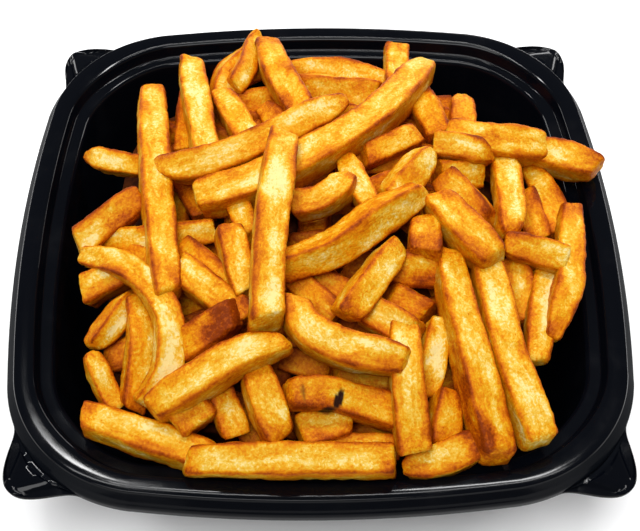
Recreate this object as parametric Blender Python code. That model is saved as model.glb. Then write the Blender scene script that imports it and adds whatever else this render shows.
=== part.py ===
"""Square black takeaway tray with bowed sides and four corner ears, heaped with thick-cut fries.

Metres, +Z up. The origin is the centre of the tray's underside; +X is to the right and +Y to
the back when the tray is seen from the front. Table values below are in millimetres.
"""
import bpy
import bmesh
from math import atan2, cos, pi, radians, sin
from mathutils import Vector
from random import Random

MM = 0.001

# Driving dimensions of the tray, in millimetres.
HALF_WIDTH = 105.1        # rim's outer shoulder, at the middle of a side
SIDE_RADIUS = 475.0       # bow of each side
CORNER_RADIUS = 48.4      # rounding of the rim at a corner
CORNER_CENTRE = 53.4      # centre of a corner's arc, on both axes
TRAY_HEIGHT = 50.0
WALL = 0.8
SKIRT_OUT = 3.0           # how far the skirt's foot stands outside the shoulder
SKIRT_DROP = 6.6
CREASE_OUT = 2.1
CREASE_DROP = 4.0
SHOULDER_CUT = 0.3        # small slope where the level top turns into the skirt
SHOULDER_DROP = 0.5
BAND_WIDTH = 5.1          # level top of the rim, from the outer shoulder
CORNER_PULL = 1.6         # how much further in the ledge and the wall lie at a corner's middle
LEDGE_START = 8.0
LEDGE_END = 11.8
LEDGE_DROP = 4.7
WALL_TOP = 12.9
WALL_TOP_DROP = 5.8
WALL_FOOT = 20.0
WALL_FOOT_DROP = 40.0
FOOT_ROUND_IN = 2.6       # slope between the wall's foot and the floor
FOOT_ROUND_UP = 3.4
FLOOR_EDGE = 29.0
EAR_REACH = 12.1          # how far an ear stands out past the skirt
EAR_HALF_ANGLE = 20.0     # degrees, seen from the corner's centre
EAR_TURNS = (-0.6, 0.4, -1.8, -1.1)   # degrees that each ear stands off its corner's middle
EAR_DROOP = 0.8           # how much lower than the skirt's foot an ear's tip hangs
EAR_NECK = 0.15           # share of the reach at which the skirt turns into the ear
EAR_SLOPE = 0.1
CORNER_STEPS = 14
SIDE_STEPS = 4

# Driving dimensions of the heap, in millimetres.
CLEARANCE = 0.3           # between the food and the tray
CROWN = 24.0              # height of the heap's second layer over the rim, at its middle
CROWN_X = 96.0
CROWN_Y = 98.0
CROWN_POWER = 2.5
LAYER_STEP = 8.0
FRY_SIDE = 11.0           # side of a square-cut fry
EDGE_CUT = 0.16           # softened edge of a fry, as a share of its side
END_SHARE = 0.34          # a fry narrows over this share of its length, at each end
CORE_STEPS = (            # core's half width as a share of the tray's, and its drop below the rim
    (0.66, TRAY_HEIGHT - WALL - CLEARANCE), (0.72, 30.0), (0.72, 13.0), (0.60, 5.0), (0.42, -1.0),
    (0.20, -4.0))
UNDER_ROWS = (-68.0, -44.0, -18.0, 10.0, 36.0, 56.0)   # under layer, on the core
UNDER_COLUMNS = (-52.0, -28.0, 0.0, 28.0, 52.0)
UNDER_CORNER = 45.0       # the two back corners stay free past this
UNDER_LENGTH = (38.0, 50.0)
UNDER_SHARES = (0.85, 0.9)
UNDER_TURN = 11.0         # degrees about a fry's own length
UNDER_SEED = 11
SCRAP_POINTS = 16         # a loose sliver has fewer corners than this
ROOM_OUT = 14.0           # the food may reach this far outside the shoulder, above the rim
ROOM_UP = 80.0
EYE = Vector((-6.7, -269.6, 348.2))   # the table's positions are seen from here, over the rim

TRAY_BLACK = (0.010, 0.011, 0.014)
FRY_GOLD = (0.89, 0.46, 0.07)

# Fries as they lie on the rim's plane when seen from EYE: points along the middle, the layer at
# the first and the last point, the width that shows, its width at the two ends as a share,
# and the turn about its own length in degrees.
FRIES = (
    # back row, left to right
    (((-64, 70), (-62, 45), (-58, 10), (-52.4, -28.5)), 1.6, 1.9, 11.8, 0.82, 0.9, 8),
    (((-49.5, 85), (-48.5, 75.5), (-45.5, 58), (-41.5, 34)), 2.1, 1.2, 11.5, 0.9, 1.0, 10),
    (((-49, 66), (-50, 36)), 0.7, 0.4, 9.0, 0.9, 0.9, 0),
    (((-27.5, 90), (-35, 77), (-38.5, 60)), 1.5, 0.9, 10.5, 0.7, 0.9, 15),
    (((-22.5, 102), (-24.8, 95), (-28, 82), (-32.5, 71)), 2.5, 1.4, 9.0, 0.6, 0.9, 10),
    (((-37, 72), (-19, 85)), 1.0, 1.0, 9.5, 0.9, 0.9, 0),
    (((-34, 61), (-16, 66)), 0.2, 0.2, 10.0, 0.9, 0.9, 0),
    (((-36.8, 67.5), (-31.8, 56.5), (-24.3, 40)), 1.5, 1.1, 11.0, 0.8, 1.0, 12),
    (((-19.2, 94), (-15.7, 81), (-5.2, 57)), 2.3, 1.5, 13.0, 0.85, 1.0, 14),
    (((-11, 80), (8, 80), (28, 72.8)), 1.2, 1.0, 10.4, 0.85, 0.9, 12),
    (((-5, 71), (24, 66)), 0.8, 0.7, 12.0, 0.9, 0.9, 0),
    (((32.5, 91.5), (32.2, 81), (31, 67)), 2.2, 1.1, 10.5, 0.95, 0.9, 8),
    (((40, 66), (47, 44)), 1.3, 1.3, 12.0, 0.9, 0.9, 10),
    (((56.3, 65.5), (55, 44)), 1.5, 0.9, 11.0, 0.4, 1.0, 12),
    (((46, 56), (60, 47)), 0.6, 0.6, 9.0, 0.8, 0.8, 0),
    (((-20, 60), (-8, 44)), 0.7, 0.7, 9.0, 0.9, 0.9, 0),
    (((8, 58), (26, 52)), 0.6, 0.6, 9.0, 0.9, 0.9, 0),
    # the two long ones that cross the middle, and the one on top of them
    (((-60, 31.5), (-45, 31), (-20, 43.5), (11.5, 64)), 2.1, 2.4, 13.0, 0.5, 0.45, 14),
    (((-44, 14.5), (-24, 21.5), (0, 36.5), (25, 57), (44, 82)), 1.6, 2.4, 15.5, 1.0, 0.6, 30),
    (((-12.8, 44.8), (-15.7, 20), (-18, -10), (-18.5, -40)), 3.0, 2.6, 12.6, 0.97, 0.97, 6),
    # left edge, back to front
    (((-87, 36.5), (-75, 33), (-62, 30.5)), 1.7, 1.3, 9.2, 0.22, 1.0, 10),
    (((-85.5, -6), (-75, 5.5), (-65, 15.5)), 2.0, 1.9, 12.3, 1.0, 0.85, 12),
    (((-78, -3), (-60, -3), (-37, 1)), 1.4, 0.9, 9.5, 0.6, 0.9, 0),
    (((-70, -8), (-56, -15)), 0.9, 0.9, 9.0, 0.9, 0.9, 0),
    (((-83, -10.5), (-71.5, -13.3), (-61.8, -20.3), (-54.2, -31), (-50.8, -43), (-51, -55), (-54, -64),
      (-58.5, -70.5)), 2.0, 1.5, 11.0, 0.6, 0.7, 12),
    (((-80.5, -25.5), (-68, -17.5)), 1.5, 1.2, 12.2, 1.0, 0.9, 20),
    (((-65, -28.5), (-70.5, -38.5), (-76.5, -48.5)), 1.0, 1.6, 9.6, 0.6, 0.7, 20),
    (((-77.3, -50), (-72.6, -60), (-66.3, -73)), 1.9, 1.2, 8.0, 0.6, 1.0, 14),
    (((-64.5, -27), (-60.5, -42), (-60.5, -58), (-61.5, -72)), 1.2, 1.0, 10.5, 0.6, 0.9, 12),
    # front edge, left to right
    (((-77, -75), (-61, -81), (-36, -90)), 2.2, 1.7, 12.2, 0.95, 0.95, 20),
    (((-43.5, -90.5), (-20, -90.8), (0, -91.2), (22.5, -91.6)), 2.2, 2.2, 11.6, 0.9, 0.97, 10),
    (((-55.5, -73), (-42, -63.2), (-27, -52.5), (-10.8, -47)), 2.2, 2.1, 14.0, 0.8, 0.55, 22),
    (((-46, -69), (-38.5, -78.5)), 1.5, 1.5, 14.0, 0.95, 0.95, 4),
    (((-33.3, -66.7), (-27.5, -81.8)), 1.2, 1.3, 10.0, 0.9, 0.95, 10),
    (((-26, -72), (-21, -86)), 0.3, 0.3, 9.0, 0.9, 0.9, 0),
    (((-22.7, -57.5), (-17.7, -72.5), (-13.5, -84)), 1.5, 2.0, 12.5, 0.9, 0.9, 12),
    (((-12, -67), (0, -67), (10, -70), (25, -75)), 1.9, 1.3, 12.5, 0.8, 0.95, 12),
    (((-8, -82), (9, -77)), 1.2, 1.2, 13.0, 0.9, 0.8, 14),
    (((0, -86), (24, -87)), 1.1, 1.3, 9.0, 0.9, 0.9, 0),
    (((25, -94), (38, -91), (49, -86)), 1.9, 1.9, 11.5, 0.55, 0.9, 8),
    (((28, -43), (27.5, -60), (28.2, -88)), 1.6, 2.2, 12.0, 0.9, 0.95, 10),
    (((41, -66), (37, -88)), 1.4, 1.7, 11.5, 0.7, 0.95, 20),
    (((39.7, -38), (37.7, -50), (33.7, -69)), 1.2, 1.0, 10.5, 0.6, 0.8, 14),
    # middle
    (((-50, 25), (-41, 6)), 0.2, 0.2, 9.0, 0.9, 0.9, 0),
    (((-30, 14), (-24, -4)), 1.2, 1.2, 9.0, 0.9, 0.9, 0),
    (((-32.7, 3), (-29.7, -10), (-24.7, -27)), 1.9, 1.6, 12.2, 0.75, 0.9, 12),
    (((-48, -6), (-24, -31)), 1.1, 1.0, 9.5, 0.9, 0.9, 0),
    (((-48, -17), (-38, -26), (-25, -38)), 1.3, 1.4, 12.5, 0.9, 0.9, 12),
    (((-48, -52), (-38, -43), (-28, -34)), 1.1, 2.0, 13.2, 0.9, 0.85, 20),
    (((-10, 11.3), (0, 13.3), (8, 19.3), (13.5, 26.3)), 1.6, 2.2, 12.5, 1.0, 0.35, 26),
    (((10, 34), (19, 10)), 1.5, 1.7, 9.5, 0.7, 0.85, 8),
    (((17, 17), (33, 24)), 1.0, 1.0, 10.0, 0.9, 0.9, 0),
    (((6, 30), (42, 35)), 0.4, 0.4, 9.5, 0.9, 0.9, 0),
    (((17, 34.8), (37, 44.6)), 1.3, 1.4, 11.0, 0.9, 0.9, 14),
    (((38.5, 19), (23, 7.3), (5.5, -7.7), (-13, -15.5)), 2.3, 1.8, 14.0, 0.7, 0.9, 24),
    (((-10, -6), (4, -5)), 0.1, 0.1, 9.0, 0.9, 0.9, 0),
    (((-10, -20), (6, -37)), 0.9, 0.9, 9.5, 0.9, 0.9, 0),
    (((-4, -17), (15, -32)), 0.7, 0.7, 9.5, 0.9, 0.9, 0),
    (((28, -7), (18, -22), (8.2, -37)), 1.6, 2.3, 12.2, 0.65, 0.85, 12),
    (((-9.5, -28.5), (-6, -40.5), (4.3, -48.6), (17.5, -52.6), (29, -55.3)),
     1.9, 2.2, 13.4, 0.8, 0.8, 14),
    (((-14, -53), (3, -58)), 0.1, 0.1, 9.0, 0.9, 0.9, 0),
    (((4, -59), (27, -63)), 0.1, 0.1, 9.5, 0.9, 0.9, 0),
    (((13, -33), (32, -45)), 1.5, 1.6, 12.4, 0.9, 0.9, 10),
    (((23, -16), (41, -19)), 0.9, 0.9, 12.5, 0.9, 0.9, 0),
    (((23, -28), (37, -37)), 0.8, 0.8, 11.0, 0.9, 0.9, 0),
    (((38, 5), (37, -13.3)), 1.6, 1.7, 12.5, 0.4, 1.0, 6),
    (((43, 39), (26, 14)), 2.3, 1.8, 12.5, 0.4, 0.95, 20),
    (((44, 41), (55, 38), (66, 33)), 1.8, 2.0, 12.0, 0.95, 0.3, 20),
    # right side
    (((49, 46), (60, 42), (72, 39.8), (84, 38.2)), 1.7, 2.4, 15.5, 0.85, 0.9, 26),
    (((78, 38.5), (90, 33.5), (104.8, 28)), 2.1, 3.0, 13.5, 0.9, 0.75, 26),
    (((44, 27), (61, 25)), 0.9, 0.9, 10.5, 0.9, 0.9, 0),
    (((47, 23), (61, 2)), 1.4, 1.5, 12.0, 0.9, 0.8, 0),
    (((42.5, 14.5), (51.3, 0), (61.8, -15)), 2.0, 2.4, 15.0, 0.8, 0.95, 26),
    (((69.5, 31), (69.6, 13), (67.8, -3)), 1.4, 2.1, 12.3, 0.85, 0.6, 14),
    (((76, 14), (79, -6)), 0.9, 0.9, 9.5, 0.9, 0.9, 0),
    (((79, 29), (84, 12), (86, -4)), 1.0, 1.3, 11.0, 0.7, 0.9, 12),
    (((66, -6.3), (87, -15)), 1.9, 2.5, 12.0, 0.8, 0.97, 14),
    (((91.8, 10), (89, -6), (86.5, -22), (82, -34), (77.5, -47)), 2.5, 2.1, 11.2, 0.75, 0.5, 16),
    (((78.3, -19), (74.2, -40), (71.2, -56.5)), 1.3, 1.6, 11.0, 0.8, 0.8, 14),
    (((68, -14), (72, -39)), 0.9, 0.9, 10.0, 0.9, 0.9, 0),
    (((45, -11), (46.5, -30), (49.6, -52), (52, -73), (55, -91.5)), 1.4, 2.5, 13.6, 0.8, 0.92, 24),
    (((58, -13), (60, -40), (63, -60), (69, -86.5)), 1.5, 2.6, 14.0, 0.85, 0.9, 22),
)


def material(name, colour, roughness, metallic=0.0):
    made = bpy.data.materials.new(name)
    made.use_nodes = True
    shader = made.node_tree.nodes["Principled BSDF"]
    shader.inputs["Base Color"].default_value = (*colour, 1.0)
    shader.inputs["Roughness"].default_value = roughness
    shader.inputs["Metallic"].default_value = metallic
    made.diffuse_color = (*colour, 1.0)
    return made


def swell(degrees, half_angle):
    """A smooth hill over a corner's arc: 1 at its middle and 0 from half_angle on."""
    off = abs(degrees) / half_angle
    return 0.5 + 0.5 * cos(pi * off) if off < 1.0 else 0.0


def rim_outline():
    """Points of the rim's outer shoulder: place, way outward, ear share and corner share."""
    half_arc = atan2(CORNER_CENTRE, CORNER_CENTRE + SIDE_RADIUS - HALF_WIDTH)
    centre = HALF_WIDTH - SIDE_RADIUS
    quarter = []
    for step in range(SIDE_STEPS):
        angle = half_arc * (2 * step / SIDE_STEPS - 1)
        out = Vector((cos(angle), sin(angle)))
        quarter.append((Vector((centre, 0.0)) + out * SIDE_RADIUS, out, -90.0))
    sweep = pi / 2 - 2 * half_arc
    for step in range(CORNER_STEPS):
        angle = half_arc + sweep * step / CORNER_STEPS
        out = Vector((cos(angle), sin(angle)))
        place = Vector((CORNER_CENTRE, CORNER_CENTRE)) + out * CORNER_RADIUS
        quarter.append((place, out, angle * 180 / pi - 45.0))
    points = []
    for turn, ear_turn in enumerate(EAR_TURNS):
        for place, out, degrees in quarter:
            for _ in range(turn):
                place, out = Vector((-place.y, place.x)), Vector((-out.y, out.x))
            points.append((place, out, swell(degrees - ear_turn, EAR_HALF_ANGLE), swell(degrees, 45.0)))
    return points


def ring(outline, inset, drop, ear=0.0):
    """One ring of the tray: the outline moved inward by inset and down by drop, from the rim."""
    placed = []
    pull = CORNER_PULL * min(1.0, max(0.0, inset / LEDGE_START))
    for place, out, ear_share, corner_share in outline:
        flat = place - out * (inset + pull * corner_share - ear * EAR_REACH * ear_share)
        placed.append(Vector((flat.x, flat.y, TRAY_HEIGHT - drop - ear * EAR_DROOP * ear_share)) * MM)
    return placed


def skin(name, rings, closed):
    """A solid from rings of equal count: closed to itself, or capped at its first and last ring."""
    mesh = bpy.data.meshes.new(name)
    work = bmesh.new()
    loops = [[work.verts.new(point) for point in points] for points in rings]
    pairs = list(zip(loops, loops[1:]))
    if closed:
        pairs.append((loops[-1], loops[0]))
    else:
        work.faces.new(loops[0])
        work.faces.new(loops[-1])
    for lower, upper in pairs:
        count = len(lower)
        for index in range(count):
            after = (index + 1) % count
            work.faces.new((lower[index], lower[after], upper[after], upper[index]))
    bmesh.ops.recalc_face_normals(work, faces=work.faces)
    work.to_mesh(mesh)
    work.free()
    return mesh


def show(mesh, name, collection=None):
    made = bpy.data.objects.new(name, mesh)
    (collection or bpy.context.scene.collection).objects.link(made)
    return made


def tray_rings(outline):
    """Rings over the tray's whole skin, from the floor's top to the rim, the skirt and the underside."""
    top = (
        (FLOOR_EDGE, TRAY_HEIGHT - WALL, 0.0),
        (WALL_FOOT + FOOT_ROUND_IN, TRAY_HEIGHT - FOOT_ROUND_UP, 0.0),
        (WALL_FOOT, WALL_FOOT_DROP, 0.0),
        (WALL_TOP, WALL_TOP_DROP, 0.0),
        (LEDGE_END, LEDGE_DROP, 0.0),
        (LEDGE_START, LEDGE_DROP, 0.0),
        (BAND_WIDTH, 0.0, 0.0),
        (SHOULDER_CUT, 0.0, 0.0),
        (-SHOULDER_CUT, SHOULDER_DROP, 0.0),
        (-CREASE_OUT, CREASE_DROP, 0.0),
        (-SKIRT_OUT, SKIRT_DROP, EAR_NECK),
        (-SKIRT_OUT, SKIRT_DROP + EAR_SLOPE, 1.0),
    )
    under = (
        (-SKIRT_OUT, SKIRT_DROP + WALL, 1.0),
        (-SKIRT_OUT + WALL, SKIRT_DROP + WALL, EAR_NECK),
        (-CREASE_OUT + WALL, CREASE_DROP + WALL / 2, 0.0),
        (WALL, WALL, 0.0),
        (BAND_WIDTH - WALL / 2, WALL, 0.0),
        (LEDGE_START - WALL / 2, LEDGE_DROP + WALL, 0.0),
        (LEDGE_END - WALL / 2, LEDGE_DROP + WALL, 0.0),
        (WALL_TOP - WALL, WALL_TOP_DROP + WALL / 2, 0.0),
        (WALL_FOOT - WALL, WALL_FOOT_DROP, 0.0),
        (WALL_FOOT - WALL + FOOT_ROUND_IN, TRAY_HEIGHT - FOOT_ROUND_UP, 0.0),
        (FLOOR_EDGE - WALL / 2, TRAY_HEIGHT, 0.0),
    )
    return [ring(outline, inset, drop, ear) for inset, drop, ear in top + under]


def make_tray(outline):
    tray = show(skin("tray", tray_rings(outline), closed=False), "tray")
    tray.data.materials.append(material("black_plastic", TRAY_BLACK, 0.18))
    return tray


def lift_over_rim(x, y, layer):
    """Height of a fry's middle over the rim's plane, in the given layer of the heap."""
    fall = (abs(x) / CROWN_X) ** CROWN_POWER + (abs(y) / CROWN_Y) ** CROWN_POWER
    return CROWN * max(0.0, 1.0 - fall) + LAYER_STEP * (layer - 2.0)


def along_sight(x, y, lift):
    """The point at a height over the rim that covers (x, y) on the rim's plane, seen from EYE."""
    seen = Vector((x, y, 0.0))
    return seen + (EYE - seen) * (lift / EYE.z)


def bent(points, parts):
    """Evenly parted points on a smooth bend through the given ones."""
    if len(points) == 2:
        return [points[0].lerp(points[1], step / parts) for step in range(parts + 1)]
    spans = len(points) - 1
    placed = []
    for step in range(parts + 1):
        reach = spans * step / parts
        span = min(int(reach), spans - 1)
        share = reach - span
        before = points[max(span - 1, 0)]
        start, end = points[span], points[span + 1]
        after = points[min(span + 2, spans)]
        pull_in, pull_out = (end - before) / 2, (after - start) / 2
        square, cube = share * share, share ** 3
        placed.append(start * (2 * cube - 3 * square + 1) + pull_in * (cube - 2 * square + share)
                      + end * (3 * square - 2 * cube) + pull_out * (cube - square))
    return placed


def fry_rings(seen, layer_a, layer_b, width, share_a, share_b, turn):
    """Rings along one fry of the table, as wide as it is seen."""
    spans = len(seen) - 1
    middle = []
    for index, (x, y) in enumerate(seen):
        layer = layer_a + (layer_b - layer_a) * index / spans
        middle.append(along_sight(x, y, lift_over_rim(x, y, layer)))
    line = bent(middle, 2 if spans == 1 else spans + 1)
    angle = radians(turn)
    side = width / (cos(angle) + (1.0 - 2 * EDGE_CUT) * sin(angle))
    return square_rings(line, side, share_a, share_b, angle)


def square_rings(line, side, share_a, share_b, angle):
    """Eight-sided rings on a line over the rim's plane: a square with softened edges."""
    last = len(line) - 1
    rings = []
    for index, point in enumerate(line):
        ahead = line[min(index + 1, last)] - line[max(index - 1, 0)]
        ahead.normalize()
        up = (EYE - point) - ahead * (EYE - point).dot(ahead)
        up.normalize()
        right = ahead.cross(up)
        across = right * cos(angle) + up * sin(angle)
        over = up * cos(angle) - right * sin(angle)
        along = index / last
        share = 1.0
        if along < END_SHARE:
            share = share_a + (1.0 - share_a) * along / END_SHARE
        elif along > 1.0 - END_SHARE:
            share = share_b + (1.0 - share_b) * (1.0 - along) / END_SHARE
        half = side / 2 * share * (1.0 - point.z / EYE.z)
        cut = half * (1.0 - 2 * EDGE_CUT)
        corners = ((half, cut), (cut, half), (-cut, half), (-half, cut),
                   (-half, -cut), (-cut, -half), (cut, -half), (half, -cut))
        above = point + Vector((0.0, 0.0, TRAY_HEIGHT))
        rings.append([(above + across * a + over * b) * MM for a, b in corners])
    return rings


def core_rings(outline):
    """Rings of the lump that the fries lie on: it fills the tray's middle."""
    return [[Vector((place.x * share, place.y * share, TRAY_HEIGHT - drop)) * MM
             for place, *_ in outline[::2]] for share, drop in CORE_STEPS]


def core_height(x, y):
    """Height of the core's top over the rim's plane."""
    reach = max(abs(x), abs(y)) / HALF_WIDTH
    slope = CORE_STEPS[2:]
    for (outer, low), (inner, high) in zip(slope, slope[1:]):
        if reach > inner:
            share = min(1.0, (outer - reach) / (outer - inner))
            return -(low + (high - low) * share)
    return -slope[-1][1]


def under_fries():
    """Straight fries of the under layer, half sunk in the core, as rings."""
    draw = Random(UNDER_SEED)
    laid = []
    for y in UNDER_ROWS:
        for x in UNDER_COLUMNS:
            heading = draw.uniform(0.0, pi)
            half_length = draw.uniform(*UNDER_LENGTH) / 2
            if abs(x) > UNDER_CORNER and y > UNDER_CORNER:
                continue
            ahead = Vector((cos(heading), sin(heading), 0.0))
            middle = Vector((x, y, core_height(x, y)))
            ends = [middle + ahead * half_length * way for way in (-1, 1)]
            for end in ends:
                end.z = (end.z + core_height(end.x, end.y)) / 2
            laid.append(square_rings(bent(ends, 2), FRY_SIDE, *UNDER_SHARES, radians(UNDER_TURN)))
    return laid


def room_rings(outline):
    """Rings of the space that the food may fill: the tray's hollow less the clearance, and above."""
    gap = CLEARANCE
    return [ring(outline, inset + gap, drop - gap) for inset, drop in (
        (FLOOR_EDGE, TRAY_HEIGHT - WALL),
        (WALL_FOOT + FOOT_ROUND_IN, TRAY_HEIGHT - FOOT_ROUND_UP),
        (WALL_FOOT, WALL_FOOT_DROP),
        (WALL_TOP, WALL_TOP_DROP),
        (LEDGE_END, LEDGE_DROP),
        (LEDGE_START, LEDGE_DROP),
        (BAND_WIDTH, 0.0),
        (-ROOM_OUT, 0.0),
        (-ROOM_OUT, -ROOM_UP),
    )]


def apply_boolean(target, operation, solver, collection=None, tool=None):
    step = target.modifiers.new(operation.title(), "BOOLEAN")
    step.operation = operation
    step.solver = solver
    if collection:
        step.operand_type = "COLLECTION"
        step.collection = collection
    else:
        step.object = tool
    bpy.context.view_layer.update()
    joined = bpy.data.meshes.new_from_object(target.evaluated_get(bpy.context.evaluated_depsgraph_get()))
    target.modifiers.clear()
    target.data = joined


def drop_scraps(mesh):
    """Remove the slivers that the joining leaves beside the heap."""
    work = bmesh.new()
    work.from_mesh(mesh)
    left = set(work.verts)
    while left:
        body, edge = set(), [left.pop()]
        while edge:
            corner = edge.pop()
            body.add(corner)
            found = {link.other_vert(corner) for link in corner.link_edges} & left
            left -= found
            edge.extend(found)
        if len(body) < SCRAP_POINTS:
            bmesh.ops.delete(work, geom=list(body), context="VERTS")
    work.to_mesh(mesh)
    work.free()


def make_heap(outline):
    """The food as one body: the core, the fries fused on, kept clear of the tray."""
    loose = bpy.data.collections.new("loose_fries")
    bpy.context.scene.collection.children.link(loose)
    laid = [fry_rings(*row) for row in FRIES] + under_fries()
    for number, rings in enumerate(laid):
        name = f"fry_{number:03d}"
        show(skin(name, rings, closed=False), name, loose)
    heap = show(skin("fries", core_rings(outline), closed=False), "fries")
    apply_boolean(heap, "UNION", "MANIFOLD", collection=loose)
    for piece in list(loose.objects):
        bpy.data.objects.remove(piece)
    bpy.data.collections.remove(loose)
    room = show(skin("room", room_rings(outline), closed=False), "room")
    apply_boolean(heap, "INTERSECT", "MANIFOLD", tool=room)
    bpy.data.objects.remove(room)
    drop_scraps(heap.data)
    heap.data.name = "fries"
    heap.data.materials.clear()
    heap.data.materials.append(material("fried_potato", FRY_GOLD, 0.42))
    return heap


def main():
    for old in list(bpy.data.objects):
        bpy.data.objects.remove(old)
    outline = rim_outline()
    make_tray(outline)
    make_heap(outline)


main()
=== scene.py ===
import bpy
import bmesh
import numpy as np
from math import atan2, cos, pi, radians, sin
from mathutils import Matrix, Vector, noise
from random import Random


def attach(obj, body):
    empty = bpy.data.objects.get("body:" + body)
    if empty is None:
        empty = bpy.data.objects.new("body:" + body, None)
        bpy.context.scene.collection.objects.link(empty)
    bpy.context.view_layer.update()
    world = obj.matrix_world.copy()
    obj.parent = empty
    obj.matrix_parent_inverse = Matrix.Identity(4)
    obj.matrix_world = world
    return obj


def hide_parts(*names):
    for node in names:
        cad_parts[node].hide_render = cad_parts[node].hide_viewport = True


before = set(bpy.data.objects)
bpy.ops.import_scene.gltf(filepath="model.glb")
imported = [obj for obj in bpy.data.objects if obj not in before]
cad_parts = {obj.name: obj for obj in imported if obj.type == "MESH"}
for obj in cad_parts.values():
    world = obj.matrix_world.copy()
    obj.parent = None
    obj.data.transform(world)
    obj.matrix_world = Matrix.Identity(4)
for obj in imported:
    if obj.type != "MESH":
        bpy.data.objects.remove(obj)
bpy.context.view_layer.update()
millimetre = 0.001
print("frame loaded:", ", ".join(sorted(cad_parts)))


class Signal:
    # wraps an output socket, so that sums on it add Math nodes
    def __init__(self, finish, socket):
        self.finish = finish
        self.socket = socket

    def __add__(self, other):
        return self.finish.sum("ADD", self, other)

    __radd__ = __add__

    def __sub__(self, other):
        return self.finish.sum("SUBTRACT", self, other)

    def __rsub__(self, other):
        return self.finish.sum("SUBTRACT", other, self)

    def __mul__(self, other):
        return self.finish.sum("MULTIPLY", self, other)

    __rmul__ = __mul__

    def clamped(self):
        return self.finish.add("ShaderNodeClamp", {}, {"Value": self})


class Finish:
    # one material and its Principled shader
    def __init__(self, name):
        self.material = bpy.data.materials.new(name)
        self.material.use_nodes = True
        self.tree = self.material.node_tree
        self.shader = self.tree.nodes["Principled BSDF"]

    def add(self, kind, settings, sockets, output=0):
        node = self.tree.nodes.new(kind)
        for key, value in settings.items():
            if key == "stops":
                self.setStops(node.color_ramp, value)
            else:
                setattr(node, key, value)
        for key, value in sockets.items():
            self.feed(node.inputs[key], value)
        return Signal(self, node.outputs[output])

    def setStops(self, ramp, stops):
        while len(ramp.elements) < len(stops):
            ramp.elements.new(1.0)
        for element, (place, value) in zip(ramp.elements, stops):
            element.position = place
            element.color = (*value, 1.0)

    def feed(self, socket, value):
        if isinstance(value, Signal):
            self.tree.links.new(value.socket, socket)
        elif isinstance(value, tuple) and socket.type == "RGBA" and len(value) == 3:
            socket.default_value = (*value, 1.0)
        else:
            socket.default_value = value

    def sum(self, operation, *values):
        return self.add("ShaderNodeMath", {"operation": operation}, dict(enumerate(values)))

    def blend(self, share, first, second):
        return self.add("ShaderNodeMix", {"data_type": "RGBA"}, {0: share, 6: first, 7: second}, output=2)

    def smooth(self, value, low, high):
        # 0 below low, 1 above high
        return self.add("ShaderNodeMapRange", {"interpolation_type": "SMOOTHSTEP"},
                        {"Value": value, "From Min": low, "From Max": high})

    def set(self, **values):
        for key, value in values.items():
            self.feed(self.shader.inputs[key.replace("_", " ")], value)
        return self.material


def deselectAll():
    if bpy.context.object and bpy.context.object.mode != "OBJECT":
        bpy.ops.object.mode_set(mode="OBJECT")
    bpy.ops.object.select_all(action="DESELECT")


tray = {                      # millimetres, as the frame has them
    "halfWidth": 105.1, "sideRadius": 475.0, "cornerRadius": 48.4, "cornerCentre": 53.4,
    "height": 50.0, "wall": 0.8,
    "skirtOut": 3.0, "skirtDrop": 6.6, "creaseOut": 2.1, "creaseDrop": 4.0,
    "bandWidth": 5.1, "ledgeStart": 8.0, "ledgeEnd": 11.8, "ledgeDrop": 4.7,
    "wallTop": 12.9, "wallTopDrop": 5.8, "wallFoot": 20.0, "wallFootDrop": 40.0,
    "footRoundIn": 2.6, "footRoundUp": 3.4, "floorEdge": 29.0,
    "earReach": 12.1, "earHalfAngle": 20.0, "earDroop": 0.8,
    "earTurns": (-0.6, 0.4, -1.8, -1.1), "cornerPull": 1.6,
    "sideSteps": 16, "cornerSteps": 64, "edgeRound": 0.6, "earNeck": 0.15,
    "ridgeFoot": 6.7, "ridgeDrop": 0.7,
    "bandCrown": 0.12, "lipIn": 0.25, "lipDrop": 0.8,                     # the band is a little crowned
    "stepIn": 1.55, "stepDrop": 3.1, "footIn": 2.95, "footDrop": 5.3,     # low steps of the skirt
    "arcParts": 3, "ringDrop": 0.1, "mergeWithin": 0.03, "smoothAngle": 40.0,
    "earRib": {"width": 0.50, "end": 0.95, "fade": 0.20, "height": 0.7},
    "earLip": {"place": 0.97, "reach": 0.14, "height": 0.6},
    "earHollow": 1.1,
    "earShares": (0.15, 0.22, 0.3, 0.38, 0.46, 0.54, 0.62, 0.7, 0.77, 0.83, 0.88, 0.93, 0.97, 1.0),
}


def swell(degrees, halfAngle):
    # a smooth hill over a corner's arc, 1 at its middle
    off = abs(degrees) / halfAngle
    return 0.5 + 0.5 * cos(pi * off) if off < 1.0 else 0.0


def trayOutline():
    # the rim's outer shoulder: place, way outward, ear share, offset from the ear's middle, corner share
    halfArc = atan2(tray["cornerCentre"],
                    tray["cornerCentre"] + tray["sideRadius"] - tray["halfWidth"])
    quarter = []
    for step in range(tray["sideSteps"]):
        angle = halfArc * (2 * step / tray["sideSteps"] - 1)
        out = Vector((cos(angle), sin(angle)))
        centre = Vector((tray["halfWidth"] - tray["sideRadius"], 0.0))
        quarter.append((centre + out * tray["sideRadius"], out, -90.0))
    for step in range(tray["cornerSteps"]):
        angle = halfArc + (pi / 2 - 2 * halfArc) * step / tray["cornerSteps"]
        out = Vector((cos(angle), sin(angle)))
        centre = Vector((tray["cornerCentre"], tray["cornerCentre"]))
        quarter.append((centre + out * tray["cornerRadius"], out, angle * 180 / pi - 45.0))
    outline = []
    for turn, earTurn in enumerate(tray["earTurns"]):
        for place, out, degrees in quarter:
            for _ in range(turn):
                place, out = Vector((-place.y, place.x)), Vector((-out.y, out.x))
            fromEar = degrees - earTurn
            outline.append((place, out, swell(fromEar, tray["earHalfAngle"]),
                            fromEar / tray["earHalfAngle"], swell(degrees, 45.0)))
    return outline


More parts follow.
